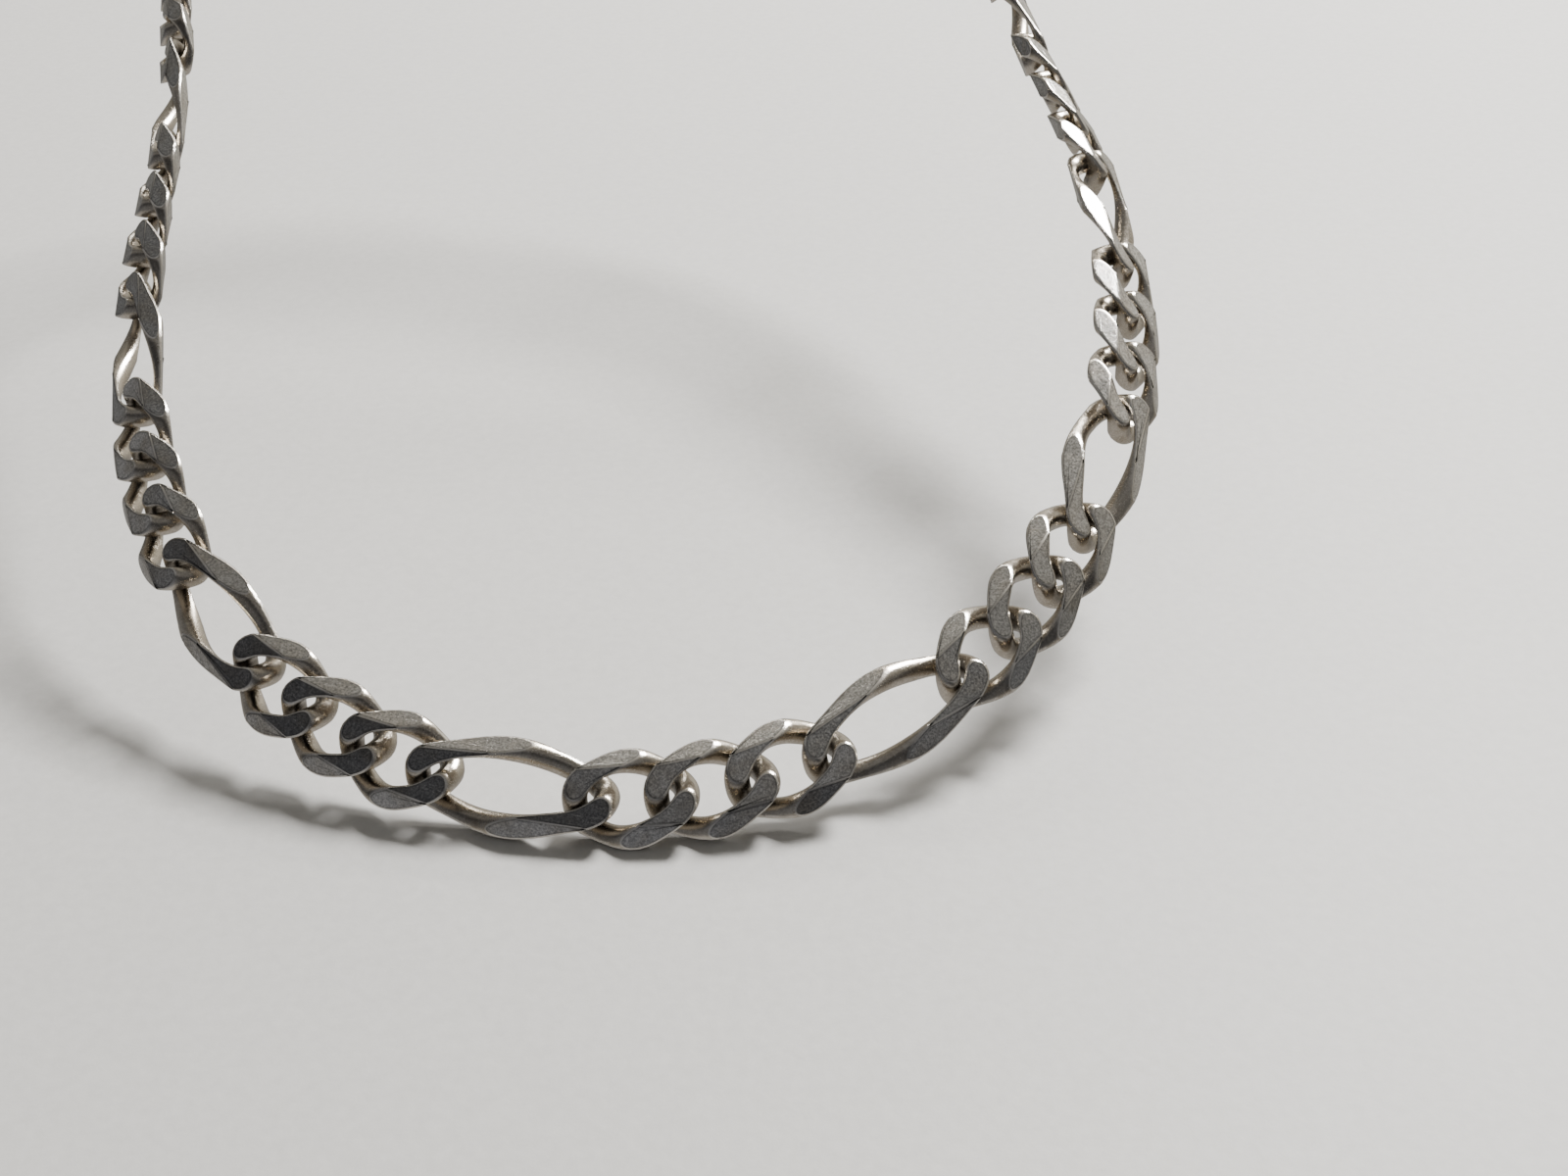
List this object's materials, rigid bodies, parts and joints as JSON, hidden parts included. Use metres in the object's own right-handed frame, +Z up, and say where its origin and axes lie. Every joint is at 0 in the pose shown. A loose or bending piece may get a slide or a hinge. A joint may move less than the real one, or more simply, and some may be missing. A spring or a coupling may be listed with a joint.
{
  "type": "chain necklace",
  "caption": "Heavy figaro chain of filed, twisted links in short and long groups, closed in a loop by a sprung claw clasp and an end ring.",
  "frame": {"origin": "centre of the neck seat, level with the chain at the sides of the neck", "axes": "+Z up, -Y to the front of the neck, +X to the right of someone facing it"},
  "size_m": [0.1112, 0.1697, 0.0698],
  "materials": {
    "link_silver": "worn tarnished silver",
    "fastening_silver": "polished silver",
    "spring_steel": "bright steel"
  },
  "bodies": {
    "left_short_link_18": {"left_short_link_18": "link_silver"},
    "left_short_link_17": {"left_short_link_17": "link_silver"},
    "left_short_link_16": {"left_short_link_16": "link_silver"},
    "left_long_link_05": {"left_long_link_05": "link_silver"},
    "left_short_link_15": {"left_short_link_15": "link_silver"},
    "left_short_link_14": {"left_short_link_14": "link_silver"},
    "left_short_link_13": {"left_short_link_13": "link_silver"},
    "left_long_link_04": {"left_long_link_04": "link_silver"},
    "left_short_link_12": {"left_short_link_12": "link_silver"},
    "left_short_link_11": {"left_short_link_11": "link_silver"},
    "left_short_link_10": {"left_short_link_10": "link_silver"},
    "left_long_link_03": {"left_long_link_03": "link_silver"},
    "left_short_link_09": {"left_short_link_09": "link_silver"},
    "left_short_link_08": {"left_short_link_08": "link_silver"},
    "left_short_link_07": {"left_short_link_07": "link_silver"},
    "left_long_link_02": {"left_long_link_02": "link_silver"},
    "left_short_link_06": {"left_short_link_06": "link_silver"},
    "left_short_link_05": {"left_short_link_05": "link_silver"},
    "left_short_link_04": {"left_short_link_04": "link_silver"},
    "left_long_link_01": {"left_long_link_01": "link_silver"},
    "left_short_link_03": {"left_short_link_03": "link_silver"},
    "left_short_link_02": {"left_short_link_02": "link_silver"},
    "left_short_link_01": {"left_short_link_01": "link_silver"},
    "front_long_link": {"front_long_link": "link_silver"},
    "right_short_link_01": {"right_short_link_01": "link_silver"},
    "right_short_link_02": {"right_short_link_02": "link_silver"},
    "right_short_link_03": {"right_short_link_03": "link_silver"},
    "right_long_link_01": {"right_long_link_01": "link_silver"},
    "right_short_link_04": {"right_short_link_04": "link_silver"},
    "right_short_link_05": {"right_short_link_05": "link_silver"},
    "right_short_link_06": {"right_short_link_06": "link_silver"},
    "right_long_link_02": {"right_long_link_02": "link_silver"},
    "right_short_link_07": {"right_short_link_07": "link_silver"},
    "right_short_link_08": {"right_short_link_08": "link_silver"},
    "right_short_link_09": {"right_short_link_09": "link_silver"},
    "right_long_link_03": {"right_long_link_03": "link_silver"},
    "right_short_link_10": {"right_short_link_10": "link_silver"},
    "right_short_link_11": {"right_short_link_11": "link_silver"},
    "right_short_link_12": {"right_short_link_12": "link_silver"},
    "right_long_link_04": {"right_long_link_04": "link_silver"},
    "right_short_link_13": {"right_short_link_13": "link_silver"},
    "right_short_link_14": {"right_short_link_14": "link_silver"},
    "right_short_link_15": {"right_short_link_15": "link_silver"},
    "right_long_link_05": {"right_long_link_05": "link_silver"},
    "right_short_link_16": {"right_short_link_16": "link_silver"},
    "right_short_link_17": {"right_short_link_17": "link_silver"},
    "right_short_link_18": {"right_short_link_18": "link_silver"},
    "right_long_link_06": {"right_long_link_06": "link_silver"},
    "jump_ring": {"jump_ring": "fastening_silver"},
    "clasp_body": {"clasp_body": "fastening_silver", "gate_pin": "spring_steel", "gate_spring": "spring_steel"},
    "gate_lever": {"gate_lever": "fastening_silver"},
    "end_ring": {"end_ring": "fastening_silver"}
  },
  "joints": [
    {"name": "right_bend_1", "type": "hinge", "parent": "front_long_link", "child": "right_short_link_01", "pos_m": [0.00139, -0.09432, -0.03341], "axis": [-0.1757, 0.7422, 0.6467], "range_deg": [-7, 7]},
    {"name": "right_bend_1_follow_1", "type": "hinge", "parent": "right_short_link_01", "child": "right_short_link_02", "pos_m": [0.00849, -0.09428, -0.03322], "axis": [-0.1757, 0.7422, 0.6467], "range_deg": [-7, 7]},
    {"name": "right_bend_1_follow_2", "type": "hinge", "parent": "right_short_link_02", "child": "right_short_link_03", "pos_m": [0.01547, -0.09314, -0.03263], "axis": [-0.1757, 0.7422, 0.6467], "range_deg": [-7, 7]},
    {"name": "right_bend_1_follow_3", "type": "hinge", "parent": "right_short_link_03", "child": "right_long_link_01", "pos_m": [0.02216, -0.09095, -0.03168], "axis": [-0.1757, 0.7422, 0.6467], "range_deg": [-7, 7]},
    {"name": "right_bend_2", "type": "hinge", "parent": "right_long_link_01", "child": "right_short_link_04", "pos_m": [0.03424, -0.08367, -0.02877], "axis": [-0.731, 0.3815, 0.5657], "range_deg": [-7, 7]},
    {"name": "right_bend_2_follow_1", "type": "hinge", "parent": "right_short_link_04", "child": "right_short_link_05", "pos_m": [0.03924, -0.07896, -0.02697], "axis": [-0.731, 0.3815, 0.5657], "range_deg": [-7, 7]},
    {"name": "right_bend_2_follow_2", "type": "hinge", "parent": "right_short_link_05", "child": "right_short_link_06", "pos_m": [0.04354, -0.07368, -0.02497], "axis": [-0.731, 0.3815, 0.5657], "range_deg": [-7, 7]},
    {"name": "right_bend_2_follow_3", "type": "hinge", "parent": "right_short_link_06", "child": "right_long_link_02", "pos_m": [0.04713, -0.06794, -0.02282], "axis": [-0.731, 0.3815, 0.5657], "range_deg": [-7, 7]},
    {"name": "right_bend_3", "type": "hinge", "parent": "right_long_link_02", "child": "right_short_link_07", "pos_m": [0.05222, -0.05531, -0.01815], "axis": [-0.7991, -0.1169, 0.5897], "range_deg": [-7, 7]},
    {"name": "right_bend_3_follow_1", "type": "hinge", "parent": "right_short_link_07", "child": "right_short_link_08", "pos_m": [0.05368, -0.04878, -0.01577], "axis": [-0.7991, -0.1169, 0.5897], "range_deg": [-7, 7]},
    {"name": "right_bend_3_follow_2", "type": "hinge", "parent": "right_short_link_08", "child": "right_short_link_09", "pos_m": [0.05449, -0.04215, -0.01336], "axis": [-0.7991, -0.1169, 0.5897], "range_deg": [-7, 7]},
    {"name": "right_bend_3_follow_3", "type": "hinge", "parent": "right_short_link_09", "child": "right_long_link_03", "pos_m": [0.05467, -0.03547, -0.01096], "axis": [-0.7991, -0.1169, 0.5897], "range_deg": [-7, 7]},
    {"name": "right_bend_4", "type": "hinge", "parent": "right_long_link_03", "child": "right_short_link_10", "pos_m": [0.05338, -0.02194, -0.0062], "axis": [-0.4988, -0.3757, 0.7811], "range_deg": [-7, 7]},
    {"name": "right_bend_4_follow_1", "type": "hinge", "parent": "right_short_link_10", "child": "right_short_link_11", "pos_m": [0.05208, -0.01533, -0.00396], "axis": [-0.4988, -0.3757, 0.7811], "range_deg": [-7, 7]},
    {"name": "right_bend_4_follow_2", "type": "hinge", "parent": "right_short_link_11", "child": "right_short_link_12", "pos_m": [0.05052, -0.00876, -0.00179], "axis": [-0.4988, -0.3757, 0.7811], "range_deg": [-7, 7]},
    {"name": "right_bend_4_follow_3", "type": "hinge", "parent": "right_short_link_12", "child": "right_long_link_04", "pos_m": [0.0489, -0.00217, 0.00032], "axis": [-0.4988, -0.3757, 0.7811], "range_deg": [-7, 7]},
    {"name": "right_bend_5", "type": "hinge", "parent": "right_long_link_04", "child": "right_short_link_13", "pos_m": [0.0462, 0.0113, 0.00461], "axis": [-0.125, -0.3723, 0.9196], "range_deg": [-7, 7]},
    {"name": "right_bend_5_follow_1", "type": "hinge", "parent": "right_short_link_13", "child": "right_short_link_14", "pos_m": [0.04508, 0.01793, 0.00691], "axis": [-0.125, -0.3723, 0.9196], "range_deg": [-7, 7]},
    {"name": "right_bend_5_follow_2", "type": "hinge", "parent": "right_short_link_14", "child": "right_short_link_15", "pos_m": [0.04378, 0.02446, 0.00938], "axis": [-0.125, -0.3723, 0.9196], "range_deg": [-7, 7]},
    {"name": "right_bend_5_follow_3", "type": "hinge", "parent": "right_short_link_15", "child": "right_long_link_05", "pos_m": [0.04206, 0.03083, 0.01199], "axis": [-0.125, -0.3723, 0.9196], "range_deg": [-7, 7]},
    {"name": "right_bend_6", "type": "hinge", "parent": "right_long_link_05", "child": "right_short_link_16", "pos_m": [0.03678, 0.04306, 0.01747], "axis": [0.0827, -0.3746, 0.9235], "range_deg": [-7, 7]},
    {"name": "right_bend_6_follow_1", "type": "hinge", "parent": "right_short_link_16", "child": "right_short_link_17", "pos_m": [0.03317, 0.04858, 0.02009], "axis": [0.0827, -0.3746, 0.9235], "range_deg": [-7, 7]},
    {"name": "right_bend_6_follow_2", "type": "hinge", "parent": "right_short_link_17", "child": "right_short_link_18", "pos_m": [0.02886, 0.05366, 0.02254], "axis": [0.0827, -0.3746, 0.9235], "range_deg": [-7, 7]},
    {"name": "right_bend_6_follow_3", "type": "hinge", "parent": "right_short_link_18", "child": "right_long_link_06", "pos_m": [0.02386, 0.05821, 0.02472], "axis": [0.0827, -0.3746, 0.9235], "range_deg": [-7, 7]},
    {"name": "left_bend_1", "type": "hinge", "parent": "front_long_link", "child": "left_short_link_01", "pos_m": [-0.01254, -0.09107, -0.03257], "axis": [-0.5063, -0.5036, -0.7], "range_deg": [-7, 7]},
    {"name": "left_bend_1_follow_1", "type": "hinge", "parent": "left_short_link_01", "child": "left_short_link_02", "pos_m": [-0.01885, -0.08797, -0.03158], "axis": [-0.5063, -0.5036, -0.7], "range_deg": [-7, 7]},
    {"name": "left_bend_1_follow_2", "type": "hinge", "parent": "left_short_link_02", "child": "left_short_link_03", "pos_m": [-0.0246, -0.08403, -0.03025], "axis": [-0.5063, -0.5036, -0.7], "range_deg": [-7, 7]},
    {"name": "left_bend_1_follow_3", "type": "hinge", "parent": "left_short_link_03", "child": "left_long_link_01", "pos_m": [-0.02973, -0.07939, -0.02861], "axis": [-0.5063, -0.5036, -0.7], "range_deg": [-7, 7]},
    {"name": "left_bend_2", "type": "hinge", "parent": "left_long_link_01", "child": "left_short_link_04", "pos_m": [-0.03803, -0.06836, -0.02454], "axis": [-0.724, -0.002, -0.6898], "range_deg": [-7, 7]},
    {"name": "left_bend_2_follow_1", "type": "hinge", "parent": "left_short_link_04", "child": "left_short_link_05", "pos_m": [-0.04107, -0.06237, -0.02223], "axis": [-0.724, -0.002, -0.6898], "range_deg": [-7, 7]},
    {"name": "left_bend_2_follow_2", "type": "hinge", "parent": "left_short_link_05", "child": "left_short_link_06", "pos_m": [-0.04344, -0.05615, -0.01976], "axis": [-0.724, -0.002, -0.6898], "range_deg": [-7, 7]},
    {"name": "left_bend_2_follow_3", "type": "hinge", "parent": "left_short_link_06", "child": "left_long_link_02", "pos_m": [-0.04517, -0.04977, -0.01716], "axis": [-0.724, -0.002, -0.6898], "range_deg": [-7, 7]},
    {"name": "left_bend_3", "type": "hinge", "parent": "left_long_link_02", "child": "left_short_link_07", "pos_m": [-0.04697, -0.03662, -0.01158], "axis": [-0.5839, 0.3334, -0.7402], "range_deg": [-7, 7]},
    {"name": "left_bend_3_follow_1", "type": "hinge", "parent": "left_short_link_07", "child": "left_short_link_08", "pos_m": [-0.04717, -0.03012, -0.00874], "axis": [-0.5839, 0.3334, -0.7402], "range_deg": [-7, 7]},
    {"name": "left_bend_3_follow_2", "type": "hinge", "parent": "left_short_link_08", "child": "left_short_link_09", "pos_m": [-0.0471, -0.02362, -0.00587], "axis": [-0.5839, 0.3334, -0.7402], "range_deg": [-7, 7]},
    {"name": "left_bend_3_follow_3", "type": "hinge", "parent": "left_short_link_09", "child": "left_long_link_03", "pos_m": [-0.04697, -0.01711, -0.00303], "axis": [-0.5839, 0.3334, -0.7402], "range_deg": [-7, 7]},
    {"name": "left_bend_4", "type": "hinge", "parent": "left_long_link_03", "child": "left_short_link_10", "pos_m": [-0.04779, -0.00372, 0.00218], "axis": [-0.3427, 0.1977, -0.9184], "range_deg": [-7, 7]},
    {"name": "left_bend_4_follow_1", "type": "hinge", "parent": "left_short_link_10", "child": "left_short_link_11", "pos_m": [-0.04895, 0.00296, 0.0043], "axis": [-0.3427, 0.1977, -0.9184], "range_deg": [-7, 7]},
    {"name": "left_bend_4_follow_2", "type": "hinge", "parent": "left_short_link_11", "child": "left_short_link_12", "pos_m": [-0.05018, 0.00969, 0.00621], "axis": [-0.3427, 0.1977, -0.9184], "range_deg": [-7, 7]},
    {"name": "left_bend_4_follow_3", "type": "hinge", "parent": "left_short_link_12", "child": "left_long_link_04", "pos_m": [-0.05108, 0.01648, 0.00806], "axis": [-0.3427, 0.1977, -0.9184], "range_deg": [-7, 7]},
    {"name": "left_bend_5", "type": "hinge", "parent": "left_long_link_04", "child": "left_short_link_13", "pos_m": [-0.05084, 0.03033, 0.01201], "axis": [-0.0759, 0.3505, -0.9335], "range_deg": [-7, 7]},
    {"name": "left_bend_5_follow_1", "type": "hinge", "parent": "left_short_link_13", "child": "left_short_link_14", "pos_m": [-0.04943, 0.03696, 0.01412], "axis": [-0.0759, 0.3505, -0.9335], "range_deg": [-7, 7]},
    {"name": "left_bend_5_follow_2", "type": "hinge", "parent": "left_short_link_14", "child": "left_short_link_15", "pos_m": [-0.04711, 0.0433, 0.01631], "axis": [-0.0759, 0.3505, -0.9335], "range_deg": [-7, 7]},
    {"name": "left_bend_5_follow_3", "type": "hinge", "parent": "left_short_link_15", "child": "left_long_link_05", "pos_m": [-0.04388, 0.04921, 0.01855], "axis": [-0.0759, 0.3505, -0.9335], "range_deg": [-7, 7]},
    {"name": "left_bend_6", "type": "hinge", "parent": "left_long_link_05", "child": "left_short_link_16", "pos_m": [-0.03468, 0.05938, 0.02295], "axis": [0.113, 0.2968, -0.9482], "range_deg": [-7, 7]},
    {"name": "left_bend_6_follow_1", "type": "hinge", "parent": "left_short_link_16", "child": "left_short_link_17", "pos_m": [-0.02903, 0.06323, 0.02489], "axis": [0.113, 0.2968, -0.9482], "range_deg": [-7, 7]},
    {"name": "left_bend_6_follow_2", "type": "hinge", "parent": "left_short_link_17", "child": "left_short_link_18", "pos_m": [-0.02279, 0.06616, 0.02655], "axis": [0.113, 0.2968, -0.9482], "range_deg": [-7, 7]},
    {"name": "left_bend_6_follow_3", "type": "hinge", "parent": "left_short_link_18", "child": "jump_ring", "pos_m": [-0.01609, 0.06811, 0.02785], "axis": [0.113, 0.2968, -0.9482], "range_deg": [-7, 7]},
    {"name": "clasp_swivel", "type": "hinge", "parent": "jump_ring", "child": "clasp_body", "pos_m": [-0.0119, 0.06878, 0.02842], "axis": [0.9971, -0.0735, 0.0181], "range_deg": [-8, 8]},
    {"name": "gate_hinge", "type": "hinge", "parent": "clasp_body", "child": "gate_lever", "pos_m": [-0.00417, 0.06877, 0.02643], "axis": [-0.0666, -0.965, -0.2538], "range_deg": [0, 25], "stiffness_Nm_per_rad": 0.002, "springref_deg": -17.19},
    {"name": "end_ring_swivel", "type": "hinge", "parent": "right_long_link_06", "child": "end_ring", "pos_m": [0.01176, 0.06537, 0.02794], "axis": [-0.9412, 0.317, 0.1173], "range_deg": [-5, 5]}
  ],
  "couplings": [
    {"joint": "right_bend_1_follow_1", "follows": "right_bend_1", "ratio": -1},
    {"joint": "right_bend_1_follow_2", "follows": "right_bend_1", "ratio": -1},
    {"joint": "right_bend_1_follow_3", "follows": "right_bend_1", "ratio": 1},
    {"joint": "right_bend_2_follow_1", "follows": "right_bend_2", "ratio": -1},
    {"joint": "right_bend_2_follow_2", "follows": "right_bend_2", "ratio": -1},
    {"joint": "right_bend_2_follow_3", "follows": "right_bend_2", "ratio": 1},
    {"joint": "right_bend_3_follow_1", "follows": "right_bend_3", "ratio": -1},
    {"joint": "right_bend_3_follow_2", "follows": "right_bend_3", "ratio": -1},
    {"joint": "right_bend_3_follow_3", "follows": "right_bend_3", "ratio": 1},
    {"joint": "right_bend_4_follow_1", "follows": "right_bend_4", "ratio": -1},
    {"joint": "right_bend_4_follow_2", "follows": "right_bend_4", "ratio": -1},
    {"joint": "right_bend_4_follow_3", "follows": "right_bend_4", "ratio": 1},
    {"joint": "right_bend_5_follow_1", "follows": "right_bend_5", "ratio": -1},
    {"joint": "right_bend_5_follow_2", "follows": "right_bend_5", "ratio": -1},
    {"joint": "right_bend_5_follow_3", "follows": "right_bend_5", "ratio": 1},
    {"joint": "right_bend_6_follow_1", "follows": "right_bend_6", "ratio": -1},
    {"joint": "right_bend_6_follow_2", "follows": "right_bend_6", "ratio": -1},
    {"joint": "right_bend_6_follow_3", "follows": "right_bend_6", "ratio": 1},
    {"joint": "left_bend_1_follow_1", "follows": "left_bend_1", "ratio": -1},
    {"joint": "left_bend_1_follow_2", "follows": "left_bend_1", "ratio": -1},
    {"joint": "left_bend_1_follow_3", "follows": "left_bend_1", "ratio": 1},
    {"joint": "left_bend_2_follow_1", "follows": "left_bend_2", "ratio": -1},
    {"joint": "left_bend_2_follow_2", "follows": "left_bend_2", "ratio": -1},
    {"joint": "left_bend_2_follow_3", "follows": "left_bend_2", "ratio": 1},
    {"joint": "left_bend_3_follow_1", "follows": "left_bend_3", "ratio": -1},
    {"joint": "left_bend_3_follow_2", "follows": "left_bend_3", "ratio": -1},
    {"joint": "left_bend_3_follow_3", "follows": "left_bend_3", "ratio": 1},
    {"joint": "left_bend_4_follow_1", "follows": "left_bend_4", "ratio": -1},
    {"joint": "left_bend_4_follow_2", "follows": "left_bend_4", "ratio": -1},
    {"joint": "left_bend_4_follow_3", "follows": "left_bend_4", "ratio": 1},
    {"joint": "left_bend_5_follow_1", "follows": "left_bend_5", "ratio": -1},
    {"joint": "left_bend_5_follow_2", "follows": "left_bend_5", "ratio": -1},
    {"joint": "left_bend_5_follow_3", "follows": "left_bend_5", "ratio": 1},
    {"joint": "left_bend_6_follow_1", "follows": "left_bend_6", "ratio": -1},
    {"joint": "left_bend_6_follow_2", "follows": "left_bend_6", "ratio": -1},
    {"joint": "left_bend_6_follow_3", "follows": "left_bend_6", "ratio": 1}
  ]
}
